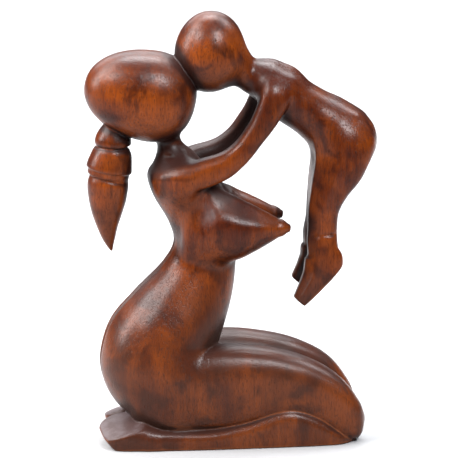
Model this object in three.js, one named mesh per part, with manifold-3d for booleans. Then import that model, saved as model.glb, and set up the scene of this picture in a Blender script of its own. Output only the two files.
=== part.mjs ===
import * as THREE from 'three';
import { mergeVertices } from 'three/addons/utils/BufferGeometryUtils.js';
import Module from 'manifold-3d';

// A kneeling mother lifts her child, forehead to forehead. The whole group is carved from one
// block of wood, so it is one solid. Millimetres: +X is where the mother faces, +Z is up,
// and y = 0 is the plane that halves the group.

const wasm = await Module();
wasm.setup();

const woodColour = 0x74381c;
const woodRoughness = 0.36;
const underside = -1;                                // the level of the flat underside
const block = { long: 260, deep: 140, tall: 340 };   // wider than the carving on every side
const eachSide = [1, -1];                            // her left side, and her right

// Each limb is given by a few cuts named after the body. A level cut has its height z, its back
// and front, and half its width. An upright cut has its x, low and high edge, its middle y and
// half its width. A cut square to a limb's run has its middle, half its depth and half its width.

const trunk = {
  underChin: { z: 216, back: -51, front: -35.5, half: 8.8 },
  throat: { z: 207, back: -50.5, front: -33.5, half: 9 },
  collar: { z: 200, back: -50.6, front: -25.8, half: 12.4 },
  shoulder: { z: 191, back: -53.2, front: -18, half: 17.8 },
  shoulderBlade: { z: 182, back: -56, front: -11, half: 23.8 },
  underArm: { z: 168, back: -52.2, front: -2.5, half: 24 },
  ribs: { z: 152, back: -43.4, front: 3, half: 20.6 },
  waist: { z: 136, back: -39.4, front: 4, half: 19.2 },
  smallOfBack: { z: 120, back: -48.5, front: 3.5, half: 20.8 },
  loin: { z: 102, back: -66.3, front: 1.5, half: 27 },
  hip: { z: 82, back: -82.8, front: -3.3, half: 34.4 },
  seat: { z: 60, back: -89.9, front: -10.5, half: 38.8 },
  underSeat: { z: 40, back: -88, front: -17, half: 38.8 },
  fold: { z: 22, back: -77.5, front: -28, half: 35 },
  heelRest: { z: 11, back: -60, front: -43, half: 22 },
};
const thigh = {
  root: { x: -70, low: 18, high: 36, y: 20, half: 8 },
  lap: { x: -48, low: 9, high: 57, y: 20.2, half: 17.6 },
  groin: { x: -22, low: 6.2, high: 66, y: 20.7, half: 19.6 },
  upper: { x: 2, low: 8, high: 67, y: 21.4, half: 19.6 },
  middle: { x: 24, low: 14, high: 64.3, y: 22, half: 18.8 },
  crest: { x: 44, low: 15.5, high: 59.2, y: 22.8, half: 17.6 },
  overKnee: { x: 62, low: 8, high: 51, y: 24.4, half: 15.9 },
  knee: { x: 75, low: 0, high: 41, y: 25.8, half: 14.7 },
  kneeCap: { x: 85, low: 1, high: 27.6, y: 26, half: 12.2 },
  kneeTip: { x: 89.6, low: 10, high: 18, y: 26, half: 5 },
};
const shin = {
  ankle: { x: -64, low: -13, high: 13, y: 20.5, half: 19.8 },
  lowerShin: { x: -42, low: -13, high: 12.2, y: 20.5, half: 21.4 },
  middle: { x: -18, low: -13, high: 12, y: 20.8, half: 22 },
  rise: { x: 8, low: -13, high: 16.8, y: 21, half: 21.9 },
  top: { x: 33, low: -13, high: 25, y: 21.7, half: 21 },
  fall: { x: 52, low: -13, high: 20.6, y: 22.5, half: 19.8 },
  underKnee: { x: 70, low: -13, high: 8.6, y: 23.6, half: 17 },
  end: { x: 81, low: -9, high: 2, y: 24, half: 10 },
};
const betweenLegs = {
  toes: { x: -88, low: -13, high: 9, half: 10 },
  heels: { x: -60, low: -13, high: 14, half: 16 },
  seat: { x: -30, low: -13, high: 40, half: 16 },
  lap: { x: 2, low: -13, high: 48, half: 15 },
  crest: { x: 44, low: -13, high: 40, half: 15 },
  knees: { x: 70, low: -13, high: 27, half: 15 },
  end: { x: 84, low: -13, high: 7, half: 12 },
};
const foot = {
  toes: { x: 0, low: 4, high: 14, y: 20.5, half: 9 },
  toeJoint: { x: 4, low: -3, high: 18, y: 20.5, half: 14.5 },
  ball: { x: 11, low: -9.5, high: 21, y: 20.5, half: 18 },
  arch: { x: 24, low: -13, high: 19.5, y: 20.6, half: 19.8 },
  heel: { x: 40, low: -13, high: 12, y: 20.8, half: 20.4 },
};
const breast = {
  root: { x: -30, y: 8, z: 152, deep: 20, half: 9 },
  side: { x: -12, y: 15, z: 149.8, deep: 25.2, half: 14.6 },
  full: { x: 1, y: 16.8, z: 148.5, deep: 22.6, half: 14.7 },
  middle: { x: 12, y: 18.2, z: 148.6, deep: 17.4, half: 12.8 },
  fore: { x: 21, y: 19.1, z: 148.8, deep: 12.4, half: 10.2 },
  rim: { x: 31, y: 19.9, z: 149, deep: 6.4, half: 6 },
};
const nipple = {
  root: { x: 27, y: 19.7, z: 149, deep: 4.5, half: 4.5 },
  step: { x: 31.4, y: 19.9, z: 149, deep: 5.6, half: 5.4 },
  middle: { x: 34.6, y: 20, z: 148.8, deep: 4.6, half: 4.5 },
  tip: { x: 37.4, y: 20, z: 148.5, deep: 2.9, half: 2.9 },
};
const arm = {
  back: { x: -47, y: 9, z: 180, deep: 5, half: 4 },
  shoulder: { x: -38, y: 16.6, z: 183.6, deep: 9, half: 8.8 },
  upper: { x: -29, y: 20, z: 186.3, deep: 9.5, half: 9.2 },
  biceps: { x: -20, y: 20.3, z: 189, deep: 9.8, half: 8.8 },
  elbow: { x: -8, y: 20.3, z: 193.3, deep: 8.8, half: 8.2 },
  forearm: { x: 0.2, y: 20.2, z: 198.6, deep: 7.8, half: 7.8 },
  middle: { x: 7.7, y: 20.1, z: 206, deep: 7.1, half: 7.6 },
  wrist: { x: 13.5, y: 19.9, z: 213.7, deep: 7.2, half: 7.5 },
  hand: { x: 19.2, y: 19.4, z: 221.5, deep: 7.9, half: 7.4 },
  childArm: { x: 24.5, y: 18.5, z: 231, deep: 9, half: 7.4 },
  childShoulder: { x: 29.4, y: 16, z: 241, deep: 9.8, half: 8 },
  end: { x: 32.6, y: 11.5, z: 248, deep: 5, half: 4 },
};
const childTrunk = {
  collar: { x: 12, z: 248.6, deep: 6, half: 7 },
  shoulder: { x: 23, z: 247.4, deep: 14, half: 16 },
  blade: { x: 33, z: 242, deep: 17.8, half: 19.8 },
  back: { x: 44, z: 232.8, deep: 17, half: 19.8 },
  waist: { x: 55, z: 225.3, deep: 17.4, half: 18.5 },
  hip: { x: 67, z: 216.8, deep: 19.6, half: 20 },
  seat: { x: 77, z: 208.5, deep: 19, half: 19.5 },
};
const childNeck = {
  skull: { x: -6, z: 264, deep: 12, half: 13.5 },
  nape: { x: 4, z: 259, deep: 11, half: 12 },
  neck: { x: 13, z: 253, deep: 10.6, half: 12 },
  root: { x: 23, z: 248, deep: 13, half: 15 },
};
const childLeg = {
  root: { x: 80, y: 9, z: 222, deep: 6, half: 4 },
  hip: { x: 77.6, y: 11.2, z: 208, deep: 17.6, half: 10.8 },
  thigh: { x: 73.8, y: 12.5, z: 190, deep: 17.9, half: 12.9 },
  overKnee: { x: 67.6, y: 13.3, z: 174.5, deep: 13.4, half: 11.9 },
  knee: { x: 63.6, y: 13.9, z: 161, deep: 10.6, half: 10.4 },
  shin: { x: 62.4, y: 14.4, z: 148, deep: 9.9, half: 9.4 },
  ankle: { x: 61.6, y: 15.2, z: 135, deep: 10, half: 8.8 },
  end: { x: 62.2, y: 15.6, z: 126, deep: 6, half: 6 },
};
const childFoot = {
  ankle: { x: 61.8, y: 15.2, z: 139, deep: 8.6, half: 8.2 },
  shaft: { x: 62.2, y: 15.8, z: 132, deep: 10.2, half: 9.2 },
  heel: { x: 62.8, y: 16.5, z: 124.5, deep: 12.8, half: 9.2 },
  instep: { x: 60.2, y: 17.2, z: 115, deep: 12.2, half: 8.8 },
  ball: { x: 54.9, y: 17.6, z: 107, deep: 9.6, half: 8 },
  toes: { x: 49.5, y: 18, z: 100.5, deep: 7, half: 7 },
  tip: { x: 46.4, y: 18.2, z: 96.8, deep: 5.6, half: 5.6 },
};
const childWeb = {
  top: { x: 74.5, z: 206, deep: 18, half: 8 },
  thigh: { x: 72, z: 189, deep: 17.2, half: 11 },
  overKnee: { x: 66.8, z: 174, deep: 12.6, half: 12 },
  knee: { x: 63.4, z: 161, deep: 9.6, half: 12 },
  shin: { x: 62.4, z: 148, deep: 8.4, half: 12 },
  ankle: { x: 62.6, z: 138, deep: 7.6, half: 12 },
  end: { x: 63.2, z: 131, deep: 5, half: 12 },
};
const hairKnot = {
  root: { x: -80, z: 222, deep: 5, half: 7 },
  top: { x: -80.4, z: 216, deep: 9.6, half: 10 },
  full: { x: -80.8, z: 209.5, deep: 12.4, half: 12.2 },
  crease: { x: -80.2, z: 205, deep: 12.2, half: 12 },
};
const hairFlare = {
  crease: { x: -79.4, z: 206.4, deep: 9.8, half: 9.8 },
  neck: { x: -80.6, z: 202, deep: 12.9, half: 12.7 },
  flare: { x: -82.2, z: 195, deep: 14.8, half: 14.2 },
  lip: { x: -83.4, z: 189.2, deep: 15.9, half: 14.9 },
};
const hairBand = {
  top: { x: -82.4, z: 192, deep: 13, half: 12.6 },
  middle: { x: -83.3, z: 188, deep: 14.3, half: 13.5 },
  groove: { x: -84.4, z: 184, deep: 14.4, half: 13.5 },
};
const hairTail = {
  root: { x: -84, z: 188, deep: 11.5, half: 11 },
  full: { x: -84.2, z: 179.6, deep: 14, half: 13.2 },
  upper: { x: -84.6, z: 169, deep: 13.1, half: 12.3 },
  middle: { x: -84.9, z: 159, deep: 10.8, half: 10.8 },
  lower: { x: -84.7, z: 149, deep: 7.4, half: 8.2 },
  point: { x: -83.7, z: 139.5, deep: 4.2, half: 5.2 },
  tip: { x: -82.2, z: 132, deep: 1, half: 1.6 },
};

// The furrow down her back, cut out of the trunk.
const furrow = {
  top: { x: -43, z: 160, deep: 0.8, half: 0.8 },
  ribs: { x: -42.6, z: 148, deep: 2, half: 2 },
  waist: { x: -40.4, z: 136, deep: 2.8, half: 2.4 },
  smallOfBack: { x: -49.3, z: 120, deep: 3, half: 2.5 },
  loin: { x: -67.2, z: 102, deep: 3, half: 2.6 },
  hip: { x: -83.6, z: 82, deep: 3, half: 2.6 },
  seat: { x: -90.7, z: 60, deep: 2.8, half: 2.4 },
  underSeat: { x: -88.6, z: 38, deep: 1.2, half: 1.2 },
};

// The round masses: middle, half sizes, the slope of the long axis in degrees, how much the
// egg narrows along it, and how square its section is.
const motherHead = {
  x: -62, z: 240.7, long: 38.5, tall: 30.6, wide: 28, tilt: -12.5, taper: -0.15, power: 2.19,
};
const childHead = { x: -14, z: 269, long: 28, tall: 24.1, wide: 23, tilt: 84, taper: 0.03, power: 2 };
const childSeat = { x: 79.6, z: 206.6, long: 21.8, tall: 20.5, wide: 21.5, tilt: -40, taper: 0, power: 2 };

const toeEnd = { right: -92.8, left: -86 };           // how far back her two feet reach
const shortFoot = 0.86;                              // the child's left foot is a little shorter
const sole = { back: 18, level: 17.5, y: 10, normal: [-0.32, 0.21, 0.92] };
const toeBevel = { level: 8, normal: [-0.72, 0, -0.69] };
const childSole = { x: 74.4, z: 120.2, normal: [0.724, 0, -0.69], drawn: 3.2 };
const legSet = { right: -1, left: 1.6 };             // how far each leg of the child is set back

// Flat cuts along a limb: the way they face, across the limb and outward, and how far from its
// middle they lie, as a share of its own half sizes.
const breastFacet = { across: -0.833, aside: 0.553, share: 0.84 };
const legFacet = { across: 0.7, aside: 0.71, share: 0.82 };
const footFacet = { across: 0.866, aside: 0.5, share: 0.91 };

// A smooth run of values through the cuts: one value of every cut, at t from 0 to 1.
function runThrough(cuts, value) {
  const points = cuts.map((cut, index) => new THREE.Vector2(index, value(cut)));
  const curve = new THREE.SplineCurve(points);
  return (t) => curve.getPoint(t).y;
}

// A closed skin over rings of points, with a flat fan at each end.
function skin(rings) {
  const around = rings[0].length;
  const positions = [];
  const triangles = [];
  const middles = [rings[0], rings[rings.length - 1]].map((ring) => {
    const middle = ring.reduce((sum, point) => sum.add(point), new THREE.Vector3());
    return middle.divideScalar(around);
  });
  for (const point of [...rings.flat(), ...middles]) {
    positions.push(point.x, point.y, point.z);
  }
  const first = rings.length * around;
  const last = (rings.length - 1) * around;
  for (let j = 0; j < around; j += 1) {
    const next = (j + 1) % around;
    for (let i = 0; i + 1 < rings.length; i += 1) {
      const a = i * around + j;
      const b = i * around + next;
      triangles.push(a, b, a + around, b, b + around, a + around);
    }
    triangles.push(first, next, j, first + 1, last + j, last + next);
  }
  const geometry = new THREE.BufferGeometry();
  geometry.setAttribute('position', new THREE.Float32BufferAttribute(positions, 3));
  geometry.setIndex(triangles);
  return geometry;
}

// A ring of points round a middle, a rounded box where the power is above 2. Points that would
// stand out over the facet are drawn back onto it.
function ring(middle, across, halfAcross, aside, halfAside, { around, power = 2, facet }) {
  const round = (value) => Math.sign(value) * Math.abs(value) ** (2 / power);
  return Array.from({ length: around }, (_, j) => {
    const angle = (2 * Math.PI * (j + 0.5)) / around;
    let u = round(Math.cos(angle));
    let v = round(Math.sin(angle));
    const over = facet ? u * facet.across + v * facet.aside - facet.share : 0;
    if (over > 0) {
      u -= over * facet.across;
      v -= over * facet.aside;
    }
    return middle.clone().addScaledVector(across, halfAcross * u).addScaledVector(aside, halfAside * v);
  });
}

const alongX = new THREE.Vector3(1, 0, 0);
const alongY = new THREE.Vector3(0, 1, 0);
const alongZ = new THREE.Vector3(0, 0, 1);

// A body of level cuts, stacked along z.
function levelBody(cuts, shape) {
  const list = Object.values(cuts);
  const z = runThrough(list, (cut) => cut.z);
  const x = runThrough(list, (cut) => (cut.back + cut.front) / 2);
  const reach = runThrough(list, (cut) => (cut.front - cut.back) / 2);
  const half = runThrough(list, (cut) => cut.half);
  return skin(Array.from({ length: shape.rings }, (_, i) => {
    const t = i / (shape.rings - 1);
    return ring(new THREE.Vector3(x(t), 0, z(t)), alongY, half(t), alongX, reach(t), shape);
  }));
}

// A body of upright cuts along x. A foot's cuts start at its own toes, at start.
function uprightBody(cuts, side, shape, start = 0) {
  const list = Object.values(cuts);
  const x = runThrough(list, (cut) => start + cut.x);
  const y = runThrough(list, (cut) => side * (cut.y ?? 0));
  const z = runThrough(list, (cut) => (cut.low + cut.high) / 2);
  const rise = runThrough(list, (cut) => (cut.high - cut.low) / 2);
  const half = runThrough(list, (cut) => cut.half);
  return skin(Array.from({ length: shape.rings }, (_, i) => {
    const t = i / (shape.rings - 1);
    return ring(new THREE.Vector3(x(t), y(t), z(t)), alongY, half(t), alongZ, rise(t), shape);
  }));
}

// A limb whose cuts stand square to its own curved run. Its facet faces away from the middle.
function limb(cuts, side, shape) {
  const list = Object.values(cuts);
  const run = new THREE.CatmullRomCurve3(
    list.map((cut) => new THREE.Vector3(cut.x, side * (cut.y ?? 0), cut.z)),
    false, 'catmullrom', 0.5,
  );
  const deep = runThrough(list, (cut) => cut.deep);
  const half = runThrough(list, (cut) => cut.half);
  const facet = shape.facet && { ...shape.facet, aside: side * shape.facet.aside };
  return skin(Array.from({ length: shape.rings }, (_, i) => {
    const t = i / (shape.rings - 1);
    const tangent = run.getTangent(t);
    const aside = alongY.clone().addScaledVector(tangent, -tangent.y).normalize();
    const across = new THREE.Vector3().crossVectors(aside, tangent);
    return ring(run.getPoint(t), across, deep(t), aside, half(t), { ...shape, facet });
  }));
}

// An egg: a sphere squared, narrowed along its long axis, sloped and moved.
function egg({ x, z, long, tall, wide, tilt, taper, power }, around, rings) {
  const geometry = new THREE.SphereGeometry(1, around, rings);
  geometry.rotateZ(Math.PI / 2);
  const position = geometry.attributes.position;
  const slope = new THREE.Matrix4().makeRotationY(-THREE.MathUtils.degToRad(tilt));
  for (let i = 0; i < position.count; i += 1) {
    const point = new THREE.Vector3().fromBufferAttribute(position, i);
    const size = (Math.abs(point.x) ** power + Math.abs(point.y) ** power
      + Math.abs(point.z) ** power) ** (1 / power);
    point.divideScalar(size);
    const narrow = 1 - taper * point.x;
    point.set(long * point.x, wide * narrow * point.y, tall * narrow * point.z);
    point.applyMatrix4(slope).add(new THREE.Vector3(x, 0, z));
    position.setXYZ(i, point.x, point.y, point.z);
  }
  return geometry;
}

// A geometry as a solid that can be joined and cut.
function solid(geometry) {
  geometry.deleteAttribute('normal');
  geometry.deleteAttribute('uv');
  const merged = mergeVertices(geometry, 1e-4);
  return new wasm.Manifold(new wasm.Mesh({
    numProp: 3,
    vertProperties: new Float32Array(merged.attributes.position.array),
    triVerts: new Uint32Array(merged.index.array),
  }));
}

const joined = (parts) => parts.reduce((sum, part) => sum.add(part));

// The wood that lies beyond a plane, as a big box turned to face along its normal.
function beyond(point, normal) {
  const size = 200;
  const geometry = new THREE.BoxGeometry(size, size, size);
  geometry.translate(0, 0, size / 2);
  const facing = new THREE.Vector3(...normal).normalize();
  geometry.applyQuaternion(new THREE.Quaternion().setFromUnitVectors(alongZ, facing));
  geometry.translate(point.x, point.y, point.z);
  return solid(geometry);
}

// Her upper body, with the furrow cut down its back.
function chest() {
  const parts = [solid(levelBody(trunk, { rings: 23, around: 24 }))];
  for (const side of eachSide) {
    parts.push(solid(limb(breast, side, { rings: 8, around: 18, facet: breastFacet })));
    parts.push(solid(limb(nipple, side, { rings: 5, around: 10 })));
  }
  return joined(parts).subtract(solid(limb(furrow, 1, { rings: 12, around: 8 })));
}

// The mother: upper body, head, the feet under her seat, and folded legs with the wood left
// standing between them.
function mother() {
  const parts = [chest(), solid(egg(motherHead, 24, 14))];
  for (const side of eachSide) {
    parts.push(solid(uprightBody(thigh, side, { rings: 15, around: 20, power: 2.8 })));
    parts.push(solid(uprightBody(shin, side, { rings: 11, around: 16, power: 5 })));
    parts.push(herFoot(side));
  }
  parts.push(solid(uprightBody(betweenLegs, 1, { rings: 8, around: 12, power: 4 })));
  return joined(parts);
}

// Her foot lies sole up, cut flat over the sole and sloped away under the toes.
function herFoot(side) {
  const start = side > 0 ? toeEnd.left : toeEnd.right;
  const whole = solid(uprightBody(foot, side, { rings: 8, around: 16, power: 3 }, start));
  const [nx, ny, nz] = sole.normal;
  const top = beyond(new THREE.Vector3(start + sole.back, side * sole.y, sole.level), [nx, side * ny, nz]);
  const toe = beyond(new THREE.Vector3(start, 0, toeBevel.level), toeBevel.normal);
  return whole.subtract(top).subtract(toe);
}

// Her hair hangs in a knot, a flared tier, a narrow band and a pointed tail.
function hair() {
  const turned = { rings: 5, around: 16 };
  const tiers = [hairKnot, hairFlare, hairBand].map((cuts) => solid(limb(cuts, 1, turned)));
  return joined([...tiers, solid(limb(hairTail, 1, { rings: 9, around: 16 }))]);
}

// The child: head, neck, bent trunk and two hanging legs with a web of wood between them.
function child() {
  const parts = [
    solid(egg(childHead, 20, 12)),
    solid(egg(childSeat, 18, 10)),
    solid(limb(childNeck, 1, { rings: 6, around: 18 })),
    solid(limb(childTrunk, 1, { rings: 9, around: 22 })),
    solid(limb(childWeb, 1, { rings: 8, around: 12, power: 3 })),
  ];
  for (const side of eachSide) {
    const leg = set(childLeg, side);
    parts.push(solid(limb(leg, side, { rings: 11, around: 16, power: 3, facet: legFacet })));
    parts.push(childsFoot(side));
  }
  return joined(parts);
}

// The child's foot points down and forward, and its sole is one flat cut.
function childsFoot(side) {
  const cuts = side > 0 ? drawnIn(childFoot, shortFoot) : childFoot;
  const whole = solid(limb(set(cuts, side), side, { rings: 8, around: 16, power: 4, facet: footFacet }));
  const through = new THREE.Vector3(childSole.x, 0, childSole.z);
  if (side > 0) {
    through.addScaledVector(new THREE.Vector3(...childSole.normal), -childSole.drawn);
  }
  return whole.subtract(beyond(through, childSole.normal));
}

// The child's left leg is set a little behind the right, most of all at the knee.
function set(cuts, side) {
  const { clamp } = THREE.MathUtils;
  const most = side > 0 ? legSet.left : legSet.right;
  return Object.fromEntries(Object.entries(cuts).map(([name, cut]) => {
    const down = clamp((200 - cut.z) / 40, 0, 1);
    const back = 0.8 * clamp((152 - cut.z) / 20, 0, 1);
    return [name, { ...cut, x: cut.x + most * down * (1 - back) }];
  }));
}

// A foot drawn in towards its ankle.
function drawnIn(cuts, share) {
  const { ankle } = cuts;
  const near = (from, to) => from + (to - from) * share;
  return Object.fromEntries(Object.entries(cuts).map(([name, cut]) => [name, {
    ...cut,
    x: near(ankle.x, cut.x),
    z: near(ankle.z, cut.z),
    deep: near(cut.deep / 2, cut.deep),
  }]));
}

// Mother's and child's arms are one band on each side.
function arms() {
  return joined(eachSide.map((side) => (
    solid(limb(arm, side, { rings: 14, around: 16, power: 2.8 }))
  )));
}

const uncut = new THREE.BoxGeometry(block.long, block.deep, block.tall);
uncut.translate(0, 0, block.tall / 2 + underside);
const carving = joined([mother(), hair(), child(), arms()]).intersect(solid(uncut));

const cutMesh = carving.getMesh();
const geometry = new THREE.BufferGeometry();
geometry.setAttribute('position', new THREE.BufferAttribute(cutMesh.vertProperties, 3));
geometry.setIndex(new THREE.BufferAttribute(cutMesh.triVerts, 1));
geometry.computeVertexNormals();

const wood = new THREE.MeshStandardMaterial({
  color: woodColour,
  roughness: woodRoughness,
  metalness: 0,
  flatShading: true,
});
const carvedGroup = new THREE.Mesh(geometry, wood);
carvedGroup.name = 'mother_and_child';
geometry.computeBoundingBox();
const middle = geometry.boundingBox.getCenter(new THREE.Vector3());
carvedGroup.position.set(-middle.x, -middle.y, -underside);

const statuette = new THREE.Group();
statuette.add(carvedGroup);

export default statuette;
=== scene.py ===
import math

import bpy
import numpy as np
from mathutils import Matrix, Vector


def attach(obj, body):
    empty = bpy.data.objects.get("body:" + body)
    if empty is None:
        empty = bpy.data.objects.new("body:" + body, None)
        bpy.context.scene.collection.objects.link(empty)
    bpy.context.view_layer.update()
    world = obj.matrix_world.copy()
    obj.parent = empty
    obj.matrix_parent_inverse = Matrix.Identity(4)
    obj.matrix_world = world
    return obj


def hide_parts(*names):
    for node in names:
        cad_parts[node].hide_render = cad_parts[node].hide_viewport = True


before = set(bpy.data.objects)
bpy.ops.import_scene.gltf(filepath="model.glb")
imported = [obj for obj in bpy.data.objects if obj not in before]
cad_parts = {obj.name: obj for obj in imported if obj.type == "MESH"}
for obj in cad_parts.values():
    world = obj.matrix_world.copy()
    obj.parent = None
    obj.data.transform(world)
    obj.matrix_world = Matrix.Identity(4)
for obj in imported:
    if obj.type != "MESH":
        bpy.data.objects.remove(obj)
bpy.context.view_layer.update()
print("frame loaded")

# The carving is worked out in millimetres on its own drawing, whose floor is at drawnFloor.
mm = 0.001
drawnFloor = -1.0
drawnShift = -0.34     # from the drawing to the frame, along x


# The way to a thing at an azimuth, counted from her right side, and an elevation in degrees.
def wayTo(azimuth, elevation):
    turn, rise = math.radians(azimuth), math.radians(elevation)
    return Vector((math.sin(turn) * math.cos(rise), -math.cos(turn) * math.cos(rise), math.sin(rise)))


# The camera stands a little behind her side and looks slightly down.
def makeCamera():
    setup = {
        "azimuth": -7.0,
        "elevation": 14.5,
        "distance": 4.0,
        "frameWidth": 0.3137,            # what the picture takes in at the object
        "aimX": -0.00034, "aimZ": 0.151,
        "aside": -0.00103, "above": -0.0059,
        "sensorWidth": 36.0,
        "clip": (0.1, 50.0),
    }
    turn = math.radians(setup["azimuth"])
    back = wayTo(setup["azimuth"], setup["elevation"])
    right = Vector((math.cos(turn), math.sin(turn), 0))
    up = back.cross(right)
    aim = Vector((setup["aimX"], 0, setup["aimZ"])) + right * setup["aside"] + up * setup["above"]
    camera = bpy.data.objects.new("camera", bpy.data.cameras.new("camera"))
    bpy.context.collection.objects.link(camera)
    camera.location = aim + back * setup["distance"]
    camera.rotation_mode = "QUATERNION"
    camera.rotation_quaternion = (-back).to_track_quat("-Z", "Y")
    camera.data.sensor_width = setup["sensorWidth"]
    camera.data.lens = setup["sensorWidth"] * setup["distance"] / setup["frameWidth"]
    camera.data.clip_start, camera.data.clip_end = setup["clip"]
    bpy.context.scene.camera = camera


makeCamera()
print("camera placed")

# Every limb is a run of named cuts. A level cut has its height, back, front and half width.
# An upright cut has its x, low and high edge, middle y and half width. A square cut stands
# square to the limb's run and has its middle, half depth and half width.
trunk = dict(
    underChin=dict(z=216, back=-51, front=-35.5, half=8.8),
    throat=dict(z=207, back=-50.5, front=-33.5, half=9),
    collar=dict(z=200, back=-50.6, front=-25.8, half=12.4),
    shoulder=dict(z=191, back=-53.2, front=-18, half=17.8),
    shoulderBlade=dict(z=182, back=-56, front=-11, half=23.8),
    underArm=dict(z=168, back=-52.2, front=-2.5, half=24),
    ribs=dict(z=152, back=-43.4, front=3, half=20.6),
    waist=dict(z=136, back=-39.4, front=4, half=19.2),
    smallOfBack=dict(z=120, back=-48.5, front=3.5, half=20.8),
    loin=dict(z=102, back=-66.3, front=1.5, half=27),
    hip=dict(z=82, back=-82.8, front=-3.3, half=34.4),
    seat=dict(z=60, back=-89.9, front=-10.5, half=38.8),
    underSeat=dict(z=40, back=-88, front=-17, half=38.8),
    fold=dict(z=22, back=-77.5, front=-28, half=35),
    heelRest=dict(z=11, back=-60, front=-43, half=22))
thigh = dict(
    root=dict(x=-70, low=18, high=36, y=20, half=8),
    lap=dict(x=-48, low=9, high=57, y=20.2, half=17.6),
    groin=dict(x=-22, low=6.2, high=66, y=20.7, half=19.6),
    upper=dict(x=2, low=8, high=67, y=21.4, half=19.6),
    middle=dict(x=24, low=14, high=64.3, y=22, half=18.8),
    crest=dict(x=44, low=15.5, high=59.2, y=22.8, half=17.6),
    overKnee=dict(x=62, low=8, high=51, y=24.4, half=15.9),
    knee=dict(x=75, low=0, high=41, y=25.8, half=14.7),
    kneeCap=dict(x=85, low=1, high=27.6, y=26, half=12.2),
    kneeTip=dict(x=89.6, low=10, high=18, y=26, half=5))
shin = dict(
    ankle=dict(x=-64, low=-13, high=13, y=20.5, half=19.8),
    lowerShin=dict(x=-42, low=-13, high=12.2, y=20.5, half=21.4),
    middle=dict(x=-18, low=-13, high=12, y=20.8, half=22),
    rise=dict(x=8, low=-13, high=16.8, y=21, half=21.9),
    top=dict(x=33, low=-13, high=25, y=21.7, half=21),
    fall=dict(x=52, low=-13, high=20.6, y=22.5, half=19.8),
    underKnee=dict(x=70, low=-13, high=8.6, y=23.6, half=17),
    end=dict(x=81, low=-9, high=2, y=24, half=10))
betweenLegs = dict(
    toes=dict(x=-88, low=-13, high=9, y=0, half=10),
    heels=dict(x=-60, low=-13, high=14, y=0, half=16),
    seat=dict(x=-30, low=-13, high=40, y=0, half=16),
    lap=dict(x=2, low=-13, high=48, y=0, half=15),
    crest=dict(x=44, low=-13, high=40, y=0, half=15),
    knees=dict(x=70, low=-13, high=27, y=0, half=15),
    end=dict(x=84, low=-13, high=7, y=0, half=12))
foot = dict(
    toes=dict(x=0, low=4, high=14, y=20.5, half=9),
    toeJoint=dict(x=4, low=-3, high=18, y=20.5, half=14.5),
    ball=dict(x=11, low=-9.5, high=21, y=20.5, half=18),
    arch=dict(x=24, low=-13, high=19.5, y=20.6, half=19.8),
    heel=dict(x=40, low=-13, high=12, y=20.8, half=20.4))
breast = dict(
    root=dict(x=-26, y=12, z=152, deep=25, half=12),
    side=dict(x=-12, y=15, z=149.8, deep=25.2, half=14.6),
    full=dict(x=1, y=16.8, z=148.5, deep=22.6, half=14.7),
    middle=dict(x=12, y=18.2, z=148.6, deep=17.4, half=12.8),
    fore=dict(x=21, y=19.1, z=148.8, deep=12.4, half=10.2),
    rim=dict(x=31, y=19.9, z=149, deep=6.4, half=6))
nipple = dict(
    root=dict(x=27, y=19.7, z=149, deep=4.5, half=4.5),
    step=dict(x=31.4, y=19.9, z=149, deep=5.6, half=5.4),
    middle=dict(x=34.6, y=20, z=148.8, deep=4.6, half=4.5),
    tip=dict(x=37.4, y=20, z=148.5, deep=2.9, half=2.9))
arm = dict(
    back=dict(x=-47, y=9, z=180, deep=5, half=4),
    shoulder=dict(x=-38, y=16.6, z=183.6, deep=9, half=8.8),
    upper=dict(x=-29, y=20, z=186.3, deep=9.5, half=9.2),
    biceps=dict(x=-20, y=20.3, z=189, deep=9.8, half=8.8),
    elbow=dict(x=-8, y=20.3, z=193.3, deep=8.8, half=8.2),
    forearm=dict(x=0.2, y=20.2, z=198.6, deep=7.8, half=7.8),
    middle=dict(x=7.7, y=20.1, z=206, deep=7.1, half=7.6),
    wrist=dict(x=13.5, y=19.9, z=213.7, deep=7.2, half=7.5),
    hand=dict(x=19.2, y=19.4, z=221.5, deep=7.9, half=7.4),
    childArm=dict(x=24.5, y=18.5, z=231, deep=9, half=7.4),
    childShoulder=dict(x=29.4, y=16, z=241, deep=9.8, half=8),
    end=dict(x=32.6, y=11.5, z=248, deep=5, half=4))
childTrunk = dict(
    collar=dict(x=12, y=0, z=248.6, deep=6, half=7),
    shoulder=dict(x=23, y=0, z=247.4, deep=14, half=16),
    blade=dict(x=33, y=0, z=242, deep=17.8, half=19.8),
    back=dict(x=44, y=0, z=232.8, deep=17, half=19.8),
    waist=dict(x=55, y=0, z=225.3, deep=17.4, half=18.5),
    hip=dict(x=67, y=0, z=216.8, deep=19.6, half=20),
    seat=dict(x=77, y=0, z=208.5, deep=19, half=19.5))
childNeck = dict(
    skull=dict(x=-6, y=0, z=264, deep=12, half=13.5),
    nape=dict(x=4, y=0, z=259, deep=11, half=12),
    neck=dict(x=13, y=0, z=253, deep=10.6, half=12),
    root=dict(x=23, y=0, z=248, deep=13, half=15))
childLeg = dict(
    root=dict(x=80, y=9, z=222, deep=6, half=4),
    hip=dict(x=77.6, y=11.2, z=208, deep=19.4, half=11.2),
    thigh=dict(x=73.8, y=12.5, z=190, deep=17.9, half=12.9),
    overKnee=dict(x=67.6, y=13.3, z=174.5, deep=13.4, half=11.9),
    knee=dict(x=63.6, y=13.9, z=161, deep=10.6, half=10.4),
    shin=dict(x=62.4, y=14.4, z=148, deep=9.9, half=9.4),
    ankle=dict(x=61.6, y=15.2, z=135, deep=10, half=8.8),
    end=dict(x=62.2, y=15.6, z=126, deep=6, half=6))
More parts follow.
